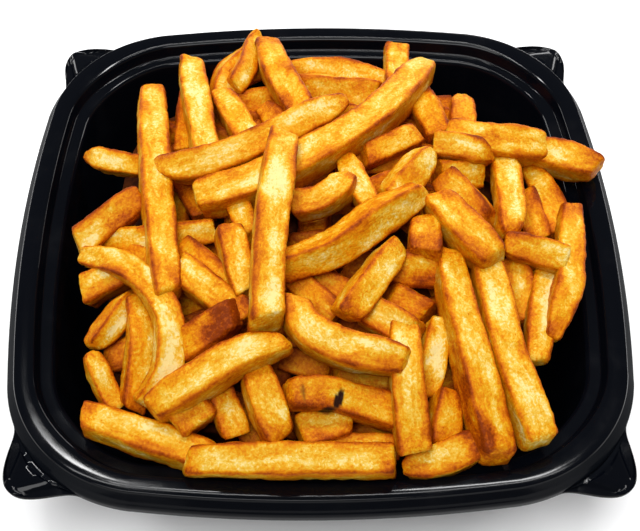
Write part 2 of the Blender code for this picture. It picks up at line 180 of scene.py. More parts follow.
def earRelief(share, off, earShare):
    # height over an ear's plain slope: a raised middle between two leaf-shaped hollows, and a lip
    if earShare <= 0.0:
        return 0.0
    rib, edge = tray["earRib"], tray["earLip"]
    narrowing = rib["width"] * max(0.0, 1.0 - share / rib["end"])
    middle = min(1.0, max(0.0, 1.0 - (abs(off) - narrowing) / rib["fade"]))
    lip = max(0.0, 1.0 - abs(share - edge["place"]) / edge["reach"])
    hollow = (1.0 - middle) * (1.0 - lip)
    height = (rib["height"] * middle * (1.0 - 0.5 * share) + edge["height"] * lip
              - tray["earHollow"] * hollow)
    return min(1.0, earShare * 2.5) * height


def trayRing(outline, inset, drop, ear):
    places = []
    pull = tray["cornerPull"] * min(1.0, max(0.0, inset / tray["ledgeStart"]))
    for place, out, earShare, off, cornerShare in outline:
        flat = place - out * (inset + pull * cornerShare - ear * tray["earReach"] * earShare)
        height = tray["height"] - drop - ear * tray["earDroop"] * earShare
        if ear > tray["earNeck"]:
            height += earRelief(ear, off, earShare)
        places.append(Vector((flat.x, flat.y, height)) * millimetre)
    return places


def roundedProfile(points, radius, parts):
    # each inner corner of a profile becomes a small arc
    rounded = [points[0]]
    for before, corner, after in zip(points, points[1:], points[2:]):
        here = Vector(corner[:2])
        back, ahead = Vector(before[:2]) - here, Vector(after[:2]) - here
        cut = min(radius, back.length * 0.4, ahead.length * 0.4)
        start, end = here + back.normalized() * cut, here + ahead.normalized() * cut
        for step in range(parts + 1):
            share = step / parts
            spot = start * (1 - share) ** 2 + here * 2 * share * (1 - share) + end * share ** 2
            rounded.append((spot.x, spot.y, corner[2]))
    rounded.append(points[-1])
    return rounded


def ringPiece(name, rings, skirt=None):
    # each ring of corners is extruded from the last, then moved to its places; ends in edit mode
    deselectAll()
    bpy.ops.mesh.primitive_circle_add(vertices=len(rings[0]), radius=tray["halfWidth"] * millimetre)
    piece = bpy.context.object
    piece.name = name
    bpy.ops.object.mode_set(mode="EDIT")
    bpy.ops.mesh.select_all(action="SELECT")
    work = bmesh.from_edit_mesh(piece.data)
    order = work.verts.layers.int.new("order")
    for number, corner in enumerate(work.verts):
        corner[order] = number
    if skirt:
        work.verts.layers.float.new("skirt")
    for number, places in enumerate(rings):
        if number:
            bpy.ops.mesh.extrude_region()
        work = bmesh.from_edit_mesh(piece.data)
        order, paint = work.verts.layers.int["order"], work.verts.layers.float.get("skirt")
        for corner in work.verts:
            if corner.select:
                corner.co = places[corner[order]]
                if skirt:
                    corner[paint] = skirt[number]
        bmesh.update_edit_mesh(piece.data)
    bpy.ops.mesh.select_all(action="SELECT")
    return piece


def faceOutward():
    bpy.ops.mesh.select_all(action="SELECT")
    bpy.ops.mesh.normals_make_consistent(inside=False)
    bpy.ops.object.mode_set(mode="OBJECT")


def makeTray():
    outline = trayOutline()
    t = tray
    foot = (t["wallFoot"] + t["footRoundIn"], t["height"] - t["footRoundUp"], 0.0)
    top = roundedProfile([
        (t["floorEdge"], t["height"] - t["wall"], 0.0),
        foot,
        (t["wallFoot"], t["wallFootDrop"], 0.0),
        (t["wallTop"], t["wallTopDrop"], 0.0),
        (t["ledgeEnd"], t["ledgeDrop"], 0.0),
        (t["ledgeStart"], t["ledgeDrop"], 0.0),
        (t["ridgeFoot"], t["ridgeDrop"], 0.0),
        (t["bandWidth"], t["bandCrown"], 0.0),
        (t["bandWidth"] / 2, 0.0, 0.0),
        (t["lipIn"], t["bandCrown"], 0.0),
        (0.0, t["lipDrop"], 0.0),
        (-t["stepIn"], t["stepDrop"], 0.0),
        (-t["creaseOut"], t["creaseDrop"], 0.0),
        (-t["footIn"], t["footDrop"], 0.0),
        (-t["skirtOut"], t["skirtDrop"], 0.0),
    ], t["edgeRound"], t["arcParts"])
    ears = [(-t["skirtOut"], t["skirtDrop"] + t["ringDrop"] * share, share) for share in t["earShares"]]
    under = [
        (-t["skirtOut"], t["skirtDrop"] + t["wall"], 1.0),
        (-t["skirtOut"] + t["wall"], t["skirtDrop"] + t["wall"], t["earNeck"]),
        (-t["creaseOut"] + t["wall"], t["creaseDrop"] + t["wall"] / 2, 0.0),
        (t["wall"], t["wall"], 0.0),
        (t["bandWidth"] - t["wall"] / 2, t["wall"], 0.0),
        (t["ledgeStart"] - t["wall"] / 2, t["ledgeDrop"] + t["wall"], 0.0),
        (t["ledgeEnd"] - t["wall"] / 2, t["ledgeDrop"] + t["wall"], 0.0),
        (t["wallTop"] - t["wall"], t["wallTopDrop"] + t["wall"] / 2, 0.0),
        (t["wallFoot"] - t["wall"], t["wallFootDrop"], 0.0),
        (foot[0] - t["wall"], foot[1], 0.0),
        (t["floorEdge"] - t["wall"] / 2, t["height"], 0.0),
    ]
    rings = [trayRing(outline, inset, drop, ear) for inset, drop, ear in top + ears + under]
    skirt = [1.0 if inset <= 0.0 else 0.0 for inset, drop, ear in top] + [0.0] * len(ears + under)
    piece = ringPiece("blackTray", rings, skirt)
    bpy.ops.mesh.remove_doubles(threshold=t["mergeWithin"] * millimetre)
    bpy.ops.mesh.fill_holes(sides=0)
    work = bmesh.from_edit_mesh(piece.data)
    flaps = [face for face in work.faces if any(edge.is_boundary for edge in face.edges)]
    bmesh.ops.delete(work, geom=flaps, context="FACES")     # slivers left over where rings were merged
    bmesh.update_edit_mesh(piece.data)
    faceOutward()
    piece.data.attributes.remove(piece.data.attributes["order"])
    bpy.ops.object.shade_smooth_by_angle(angle=radians(t["smoothAngle"]))
    return piece


plastic = {                   # scales are per metre
    "colour": (0.0014, 0.0019, 0.0034), "roughness": 0.075, "specular": 0.13,
    "smudgeColour": (0.0028, 0.0033, 0.0048), "smudgeRoughness": 0.06, "smudgeScale": 55.0,
    "waveScale": 38.0, "grainScale": 900.0, "grain": 0.03, "bump": 0.06, "bumpDepth": 0.0012,
    "dullColour": (0.004, 0.005, 0.007), "dullRoughness": 0.6, "dull": 0.85, "dullFrom": (0.060, 0.092),
}


def blackPlastic():
    finish = Finish("glossBlackPlastic")
    place = finish.add("ShaderNodeTexCoord", {}, {}, output=3)
    wave = finish.add("ShaderNodeTexNoise", {}, {"Vector": place, "Scale": plastic["waveScale"],
                                                 "Detail": 2.0})
    grain = finish.add("ShaderNodeTexNoise", {}, {"Vector": place, "Scale": plastic["grainScale"],
                                                  "Detail": 3.0})
    cloud = finish.add("ShaderNodeTexNoise", {}, {"Vector": place, "Scale": plastic["smudgeScale"],
                                                  "Detail": 5.0})
    smudge = finish.smooth(cloud, 0.50, 0.72)
    bump = finish.add("ShaderNodeBump", {}, {
        "Strength": plastic["bump"], "Distance": plastic["bumpDepth"],
        "Height": wave + plastic["grain"] * grain})
    finish.set(Base_Color=finish.blend(smudge, plastic["colour"], plastic["smudgeColour"]),
               Roughness=plastic["roughness"] + plastic["smudgeRoughness"] * smudge,
               Specular_IOR_Level=plastic["specular"], Normal=bump)
    # the skirt's left and right sides mirror less, so they stay dark
    across = finish.add("ShaderNodeSeparateXYZ", {}, {"Vector": place})
    skirt = finish.add("ShaderNodeAttribute", {"attribute_name": "skirt"}, {}, output=2)
    dull = finish.add("ShaderNodeBsdfPrincipled", {}, {
        "Base Color": plastic["dullColour"], "Roughness": plastic["dullRoughness"],
        "Specular IOR Level": 0.0})
    worn = plastic["dull"] * skirt * finish.smooth(finish.sum("ABSOLUTE", across), *plastic["dullFrom"])
    gloss = Signal(finish, finish.shader.outputs[0])
    mixed = finish.add("ShaderNodeMixShader", {}, {0: worn, 1: gloss, 2: dull})
    finish.tree.links.new(mixed.socket, finish.tree.nodes["Material Output"].inputs["Surface"])
    return finish.material


blackTray = makeTray()
blackTray.data.materials.append(blackPlastic())
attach(blackTray, "root")
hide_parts("tray")
print("tray:", len(blackTray.data.polygons), "faces")


heap = {                      # millimetres
    "eye": Vector((-6.7, -269.6, 348.2)),      # the places below are seen from here, over the rim
    "rimHeight": 50.0,
    "crown": 24.0, "crownX": 96.0, "crownY": 98.0, "crownPower": 2.5, "crownLayer": 2.0,
    "layerStep": 8.0, "endShare": 0.34, "taperReach": 20.0, "edgeCut": 0.16, "seed": 5,
    "spacing": 0.85, "alongParts": (20, 40, 70, 110), "aroundParts": 10,
    "lineParts": 80, "measureParts": 20,
    "faceRounding": 0.22, "roundingSpread": 0.06, "roundingFade": 3.5, "crowned": 0.02,
    "wobble": 0.035, "slant": 0.38, "slantFade": 5.0, "twist": 12.0,
    "lumps": 0.50, "lumpSize": 9.0, "ripple": 0.34, "rippleSize": 2.6,
    "ragged": 0.55, "raggedSize": 1.9, "raggedFade": 5.0,
}
# where each fry shows, layer at its two ends, width, narrowing at its two ends, turn,
# then its looks: brownness (its own toast, raised for fries that lie in shade: painted shade), paleness,
# crisp first and last end, and the form of the two ends
# (s squared, b blunt, t tapered)
fryTable = (
    # back row, left to right
    (((-64, 70), (-62, 45), (-58, 10), (-52.4, -28.5)),
     1.6, 1.9, 11.8, 0.82, 0.9, 8, 0.45, 0.5, 0.7, 0.35, "tb"),
    (((-49.5, 85), (-48.5, 75.5), (-45.5, 58), (-41.5, 34)),
     2.1, 1.2, 11.5, 0.9, 1, 10, 0.2, 0.7, 0.6, 0.3, "bs"),
    (((-49, 66), (-50, 36)), 0.7, 0.4, 9, 0.9, 0.9, 0, 0.8, 0.1, 0.6, 0.6, "ss"),
    (((-27.5, 90), (-35, 77), (-38.5, 60)), 1.5, 0.9, 10.5, 0.7, 0.9, 15, 0.55, 0.2, 0.9, 0.4, "bs"),
    (((-22.5, 102), (-24.8, 95), (-28, 82), (-32.5, 71)),
     2.5, 1.4, 9, 0.6, 0.9, 10, 0.3, 0.6, 0.6, 0.3, "ts"),
    (((-37, 72), (-19, 85)), 1, 1, 9.5, 0.9, 0.9, 0, 0.45, 0.5, 0.4, 0.4, "bb"),
    (((-34, 61), (-16, 66)), 0.2, 0.2, 10, 0.9, 0.9, 0, 0.8, 0, 0.6, 0.6, "ss"),
    (((-36.8, 67.5), (-31.8, 56.5), (-24.3, 40)), 1.5, 1.1, 11, 0.8, 1, 12, 0.4, 0.4, 0.5, 0.4, "bs"),
    (((-19.2, 94), (-15.7, 81), (-5.2, 57)), 2.3, 1.5, 13, 0.85, 1, 14, 0.45, 0.3, 1, 0.4, "bs"),
    (((-11, 80), (8, 80), (28, 72.8)), 1.2, 1, 10.4, 0.85, 0.9, 12, 0.35, 0.6, 0.4, 0.5, "bs"),
    (((-5, 71), (24, 66)), 0.8, 0.7, 12, 0.9, 0.9, 0, 0.45, 0.5, 0.5, 0.3, "ss"),
    (((32.5, 91.5), (32.2, 81), (31, 67)), 2.2, 1.1, 10.5, 0.95, 0.9, 8, 0.4, 0.4, 0.6, 0.3, "ss"),
    (((40, 66), (47, 44)), 1.3, 1.3, 12, 0.9, 0.9, 10, 0.7, 0.1, 0.6, 0.6, "ss"),
    (((56.3, 65.5), (55, 44)), 1.5, 0.9, 11, 0.4, 1, 12, 0.6, 0.1, 0.7, 0.6, "ts"),
    (((46, 56), (60, 47)), 0.6, 0.6, 9, 0.8, 0.8, 0, 0.7, 0.2, 0.5, 0.5, "bb"),
    (((-20, 60), (-8, 44)), 0.7, 0.7, 9, 0.9, 0.9, 0, 0.7, 0.2, 0.5, 0.5, "bb"),
    (((8, 58), (26, 52)), 0.6, 0.6, 9, 0.9, 0.9, 0, 0.7, 0.2, 0.5, 0.5, "bb"),
    # the two long ones that cross the middle, and the one on top of them
    (((-60, 31.5), (-45, 31), (-20, 43.5), (11.5, 64)),
     2.1, 2.4, 13, 0.5, 0.45, 14, 0.4, 0.4, 0.9, 0.6, "tt"),
    (((-44, 14.5), (-24, 21.5), (0, 36.5), (25, 57), (44, 82)),
     1.6, 2.4, 15.5, 1, 0.6, 30, 0.35, 0.35, 0.4, 0.4, "bt"),
    (((-12.8, 44.8), (-15.7, 20), (-18, -10), (-18.5, -40)),
     3, 2.6, 12.6, 0.97, 0.97, 6, 0.25, 0.5, 0.45, 0.4, "ss"),
    # left edge, back to front
    (((-87, 36.5), (-75, 33), (-62, 30.5)), 1.7, 1.3, 9.2, 0.22, 1, 10, 0.35, 0.5, 0.8, 0.3, "ts"),
    (((-85.5, -6), (-75, 5.5), (-65, 15.5)), 2, 1.9, 12.3, 1, 0.85, 12, 0.65, 0.1, 0.2, 0.5, "sb"),
    (((-78, -3), (-60, -3), (-37, 1)), 1.4, 0.9, 9.5, 0.6, 0.9, 0, 0.45, 0.5, 0.4, 0.4, "ts"),
    (((-70, -8), (-56, -15)), 0.9, 0.9, 9, 0.9, 0.9, 0, 0.75, 0.1, 0.5, 0.5, "ss"),
    (((-83, -10.5), (-71.5, -13.3), (-61.8, -20.3), (-54.2, -31),
      (-50.8, -43), (-51, -55), (-54, -64), (-58.5, -70.5)),
     2, 1.5, 11, 0.6, 0.7, 12, 0.35, 0.45, 0.5, 0.5, "bb"),
    (((-80.5, -25.5), (-68, -17.5)), 1.5, 1.2, 12.2, 1, 0.9, 20, 0.45, 0.4, 0.4, 0.4, "ss"),
    (((-65, -28.5), (-70.5, -38.5), (-76.5, -48.5)),
     1, 1.6, 9.6, 0.6, 0.7, 20, 0.3, 0.6, 0.5, 0.5, "tt"),
    (((-77.3, -50), (-72.6, -60), (-66.3, -73)), 1.9, 1.2, 8, 0.6, 1, 14, 0.35, 0.6, 0.5, 0.4, "ts"),
    (((-64.5, -27), (-60.5, -42), (-60.5, -58), (-61.5, -72)),
     1.2, 1, 10.5, 0.6, 0.9, 12, 0.65, 0.3, 0.6, 0.6, "tb"),
    # front edge, left to right
    (((-77, -75), (-61, -81), (-36, -90)), 2.2, 1.7, 12.2, 0.95, 0.95, 20, 0.45, 0.4, 0.9, 0.4, "bb"),
    (((-43.5, -90.5), (-20, -90.8), (0, -91.2), (22.5, -91.6)),
     2.2, 2.2, 11.6, 0.9, 0.97, 10, 0.35, 0.6, 0.5, 0.5, "bs"),
    (((-55.5, -73), (-42, -63.2), (-27, -52.5), (-10.8, -47)),
     2.2, 2.1, 14, 0.8, 0.55, 22, 0.4, 0.5, 0.5, 0.7, "bt"),
    (((-46, -69), (-38.5, -78.5)), 1.5, 1.5, 14, 0.95, 0.95, 4, 0.45, 0.3, 0.5, 0.5, "ss"),
    (((-33.3, -66.7), (-27.5, -81.8)), 1.2, 1.3, 10, 0.9, 0.95, 10, 0.5, 0.2, 0.5, 0.5, "ss"),
    (((-26, -72), (-21, -86)), 0.3, 0.3, 9, 0.9, 0.9, 0, 0.85, 0, 0.5, 0.5, "ss"),
    (((-22.7, -57.5), (-17.7, -72.5), (-13.5, -84)),
     1.5, 2, 12.5, 0.9, 0.9, 12, 0.4, 0.4, 0.5, 0.9, "sb"),
    (((-12, -67), (0, -67), (10, -70), (25, -75)),
     1.9, 1.3, 12.5, 0.8, 0.95, 12, 0.6, 0.25, 0.8, 0.5, "bs"),
    (((-8, -82), (9, -77)), 1.2, 1.2, 13, 0.9, 0.8, 14, 0.45, 0.2, 0.5, 0.6, "sb"),
    (((0, -86), (24, -87)), 1.1, 1.3, 9, 0.9, 0.9, 0, 0.9, 0, 0.5, 0.5, "ss"),
    (((25, -94), (38, -91), (49, -86)), 1.9, 1.9, 11.5, 0.55, 0.9, 8, 0.25, 0.7, 0.8, 0.4, "tb"),
    (((28, -43), (27.5, -60), (28.2, -88)), 1.6, 2.2, 12, 0.9, 0.95, 10, 0.35, 0.6, 0.4, 0.7, "ss"),
    (((41, -66), (37, -88)), 1.4, 1.7, 11.5, 0.7, 0.95, 20, 0.55, 0.3, 0.5, 0.5, "bs"),
    (((39.7, -38), (37.7, -50), (33.7, -69)), 1.2, 1, 10.5, 0.6, 0.8, 14, 0.2, 0.55, 0.4, 0.4, "tb"),
    # middle
    (((-50, 25), (-41, 6)), 0.2, 0.2, 9, 0.9, 0.9, 0, 0.9, 0, 0.6, 0.6, "ss"),
    (((-30, 14), (-24, -4)), 1.2, 1.2, 9, 0.9, 0.9, 0, 0.6, 0.4, 0.5, 0.5, "ss"),
    (((-32.7, 3), (-29.7, -10), (-24.7, -27)), 1.9, 1.6, 12.2, 0.75, 0.9, 12, 0.4, 0.5, 0.6, 0.3, "bs"),
    (((-48, -6), (-24, -31)), 1.1, 1, 9.5, 0.9, 0.9, 0, 0.95, 0, 0.6, 0.6, "ss"),
    (((-48, -17), (-38, -26), (-25, -38)), 1.3, 1.4, 12.5, 0.9, 0.9, 12, 0.35, 0.5, 0.4, 0.4, "ss"),
    (((-48, -52), (-38, -43), (-28, -34)), 1.1, 2, 13.2, 0.9, 0.85, 20, 1, 0, 0.8, 1, "sb"),
    (((-10, 11.3), (0, 13.3), (8, 19.3), (13.5, 26.3)),
     1.6, 2.2, 12.5, 1, 0.35, 26, 0.35, 0.5, 0.6, 0.7, "st"),
    (((10, 34), (19, 10)), 1.5, 1.7, 9.5, 0.7, 0.85, 8, 0.2, 0.8, 0.4, 0.4, "bs"),
    (((17, 17), (33, 24)), 1, 1, 10, 0.9, 0.9, 0, 0.7, 0.1, 0.5, 0.5, "ss"),
    (((6, 30), (42, 35)), 0.4, 0.4, 9.5, 0.9, 0.9, 0, 0.95, 0, 0.6, 0.6, "ss"),
    (((17, 34.8), (37, 44.6)), 1.3, 1.4, 11, 0.9, 0.9, 14, 0.6, 0.2, 0.5, 0.5, "ss"),
    (((38.5, 19), (23, 7.3), (5.5, -7.7), (-13, -15.5)),
     2.3, 1.8, 14, 0.7, 0.9, 24, 0.5, 0.4, 0.5, 0.5, "tb"),
    (((-10, -6), (4, -5)), 0.1, 0.1, 9, 0.9, 0.9, 0, 0.8, 0, 0.5, 0.5, "ss"),
    (((-10, -20), (6, -37)), 0.9, 0.9, 9.5, 0.9, 0.9, 0, 0.7, 0.3, 0.5, 0.5, "ss"),
    (((-4, -17), (15, -32)), 0.7, 0.7, 9.5, 0.9, 0.9, 0, 0.75, 0.2, 0.5, 0.5, "ss"),
    (((28, -7), (18, -22), (8.2, -37)), 1.6, 2.3, 12.2, 0.65, 0.85, 12, 0.4, 0.4, 0.5, 0.95, "bb"),
    (((-9.5, -28.5), (-6, -40.5), (4.3, -48.6), (17.5, -52.6), (29, -55.3)),
     1.9, 2.2, 13.4, 0.8, 0.8, 14, 0.3, 0.6, 0.5, 0.5, "bb"),
    (((-14, -53), (3, -58)), 0.1, 0.1, 9, 0.9, 0.9, 0, 0.85, 0, 0.5, 0.5, "ss"),
    (((4, -59), (27, -63)), 0.1, 0.1, 9.5, 0.9, 0.9, 0, 0.9, 0, 0.5, 0.5, "ss"),
    (((13, -33), (32, -45)), 1.5, 1.6, 12.4, 0.9, 0.9, 10, 0.2, 0.8, 0.4, 0.9, "ss"),
    (((23, -16), (41, -19)), 0.9, 0.9, 12.5, 0.9, 0.9, 0, 0.9, 0, 0.5, 0.5, "bb"),
    (((23, -28), (37, -37)), 0.8, 0.8, 11, 0.9, 0.9, 0, 0.95, 0, 0.5, 0.5, "ss"),
    (((38, 5), (37, -13.3)), 1.6, 1.7, 12.5, 0.4, 1, 6, 0.6, 0.2, 0.6, 0.9, "ts"),
    (((43, 39), (26, 14)), 2.3, 1.8, 12.5, 0.4, 0.95, 20, 0.2, 0.7, 0.4, 0.4, "tb"),
    (((44, 41), (55, 38), (66, 33)), 1.8, 2, 12, 0.95, 0.3, 20, 0.4, 0.4, 0.4, 0.6, "st"),
    # right side
    (((49, 46), (60, 42), (72, 39.8), (84, 38.2)),
     1.7, 2.4, 15.5, 0.85, 0.9, 26, 0.35, 0.6, 0.5, 0.3, "bb"),
    (((78, 38.5), (90, 33.5), (104.8, 28)), 2.1, 3, 13.5, 0.9, 0.75, 26, 0.35, 0.5, 0.3, 0.5, "bb"),
    (((44, 27), (61, 25)), 0.9, 0.9, 10.5, 0.9, 0.9, 0, 0.55, 0.5, 0.5, 0.5, "ss"),
    (((47, 23), (61, 2)), 1.4, 1.5, 12, 0.9, 0.8, 0, 0.85, 0.1, 0.5, 0.6, "sb"),
    (((42.5, 14.5), (51.3, 0), (61.8, -15)), 2, 2.4, 15, 0.8, 0.95, 26, 0.5, 0.4, 0.5, 0.3, "bb"),
    (((69.5, 31), (69.6, 13), (67.8, -3)), 1.4, 2.1, 12.3, 0.85, 0.6, 14, 0.3, 0.5, 0.5, 0.6, "bt"),
    (((76, 14), (79, -6)), 0.9, 0.9, 9.5, 0.9, 0.9, 0, 0.9, 0, 0.5, 0.5, "ss"),
    (((79, 29), (84, 12), (86, -4)), 1, 1.3, 11, 0.7, 0.9, 12, 0.65, 0.3, 0.5, 0.5, "ts"),
    (((66, -6.3), (87, -15)), 1.9, 2.5, 12, 0.8, 0.97, 14, 0.45, 0.3, 0.5, 0, "bs"),
    (((91.8, 10), (89, -6), (86.5, -22), (82, -34), (77.5, -47)),
     2.5, 2.1, 11.2, 0.75, 0.5, 16, 0.65, 0.3, 0.9, 0.5, "bt"),
    (((78.3, -19), (74.2, -40), (71.2, -56.5)), 1.3, 1.6, 11, 0.8, 0.8, 14, 0.35, 0.6, 0.5, 0.5, "bb"),
    (((68, -14), (72, -39)), 0.9, 0.9, 10, 0.9, 0.9, 0, 0.85, 0.1, 0.5, 0.5, "ss"),
    (((45, -11), (46.5, -30), (49.6, -52), (52, -73), (55, -91.5)),
     1.4, 2.5, 13.6, 0.8, 0.92, 24, 0.45, 0.4, 0.5, 0.8, "bb"),
    (((58, -13), (60, -40), (63, -60), (69, -86.5)),
     1.5, 2.6, 14, 0.85, 0.9, 22, 0.3, 0.7, 0.5, 0.4, "bb"),
)

# spots on the fries, where they show: place, reach along x and y, slant in degrees, kind, strength
marks = (
    ((5.4, -68.5), (1.2, 4.4), -20, "burn", 1.0),
    ((1.8, -73.0), (3.4, 1.2), 12, "burn", 0.8),
    ((-6.0, -67.0), (1.1, 4.6), 8, "burn", 0.55),
    ((-2.5, -69.5), (5.5, 5), 0, "crust", 0.9),
    ((-82, -4), (5, 5), 0, "pale", 1.0),
    ((-33, -38), (9, 8), 0, "crust", 1.35),
    ((-52, -46), (5, 13), 0, "pale", 1.0),
    ((-14, 30), (4, 7), 0, "pale", 0.9),
    ((-18, -32), (4.5, 8), 0, "pale", 0.8),
    ((65, 44), (6, 3), -10, "crust", 0.9),
    ((88, -25), (2, 9), 10, "pale", 0.9),
    ((50, -83), (4.0, 8), 0, "crust", 1.15),
    ((46, -68), (2.2, 12), 6, "crust", 1.0),
    ((69.5, -24.5), (2, 2), 0, "pale", 1.0),
    ((57, 28), (3.5, 2.5), 0, "pale", 0.9),
    ((-73, 6), (5, 4), 30, "crust", 0.8),
    ((-29, -55), (7, 3), 35, "pale", 0.8),
)


cooking = {                   # what each adds to the toast scale: 0 cream, 0.3 golden, 0.7 brown, 1 dark
    # the side and depth terms are painted shade, the broad edge term is partly browning and partly
    # painted shade, and the brownness is partly painted shade
    "start": 0.11, "brownAndShade": 0.29, "edge": 0.17, "rib": 0.26, "side": 0.06, "crisp": 0.32,
    "streak": 0.28, "deep": 0.26, "crustMark": 0.34, "paleMark": 0.08,
    # reaches and sizes in millimetres; zones as start and width, 0 at a face's middle and 1 at its edge
    "deepReach": 34.0, "crispReach": 7.0, "grainSize": 5.0, "streakSize": 6.0, "paleSize": 7.5,
    "edgeZone": (0.10, 0.90), "ribZone": (0.66, 0.34), "sideShadeZone": (0.70, 0.30), "paleEnd": (0.5, 0.5),
}


def crownHeight(x, y):
    # how far the heap's even top stands over the rim there
    fall = ((abs(x) / heap["crownX"]) ** heap["crownPower"]
            + (abs(y) / heap["crownY"]) ** heap["crownPower"])
    return heap["crown"] * np.maximum(0.0, 1.0 - fall)


def overRim(x, y, layer):
    return float(crownHeight(x, y)) + heap["layerStep"] * (layer - heap["crownLayer"])


def alongSight(x, y, lift):
    seen = Vector((x, y, 0.0))
    return seen + (heap["eye"] - seen) * (lift / heap["eye"].z)


def bent(points, parts):
    # evenly parted places on a smooth bend through the given ones
    if len(points) == 2:
        return [points[0].lerp(points[1], step / parts) for step in range(parts + 1)]
    spans = len(points) - 1
    placed = []
    for step in range(parts + 1):
        reach = spans * step / parts
        span = min(int(reach), spans - 1)
        t = reach - span
        before, start = points[max(span - 1, 0)], points[span]
        end, after = points[span + 1], points[min(span + 2, spans)]
        pullIn, pullOut = (end - before) / 2, (after - start) / 2
        placed.append(start * (2 * t ** 3 - 3 * t * t + 1) + pullIn * (t ** 3 - 2 * t * t + t)
                      + end * (3 * t * t - 2 * t ** 3) + pullOut * (t ** 3 - t * t))
    return placed


def rawFry(name, alongParts, aroundParts):
    # a plain bar, one long and two across, cut into even parts
    deselectAll()
    bpy.ops.mesh.primitive_cube_add(size=2.0)
    piece = bpy.context.object
    piece.name = name
    bpy.ops.object.mode_set(mode="EDIT")
    for axis, cuts in ((1, aroundParts - 1), (2, aroundParts - 1), (0, alongParts - 1)):
        bpy.ops.mesh.select_all(action="DESELECT")
        work = bmesh.from_edit_mesh(piece.data)
        for edge in work.edges:
            way = edge.verts[1].co - edge.verts[0].co
            edge.select_set(abs(way[axis]) > 0.9 * way.length)
        bmesh.update_edit_mesh(piece.data)
        bpy.ops.mesh.subdivide(number_cuts=cuts)
    bpy.ops.object.mode_set(mode="OBJECT")
    return piece


def smoothStep(value):
    value = np.clip(value, 0.0, 1.0)
    return value * value * (3.0 - 2.0 * value)


def rising(value, zone):
    start, width = zone
    return smoothStep((value - start) / width)


def lumps(places, size, shift):
    return np.array([noise.noise((x / size + shift, y / size, z / size)) for x, y, z in places])


def rows(vectors):
    return np.array([tuple(vector) for vector in vectors])


def unit(vectors):
    return vectors / np.maximum(np.linalg.norm(vectors, axis=1, keepdims=True), 1e-9)


endForms = {                  # reach of the rounding along and across, as shares of the half side
    "s": (0.12, 0.22), "b": (0.34, 0.48), "t": (0.70, 0.55),
}


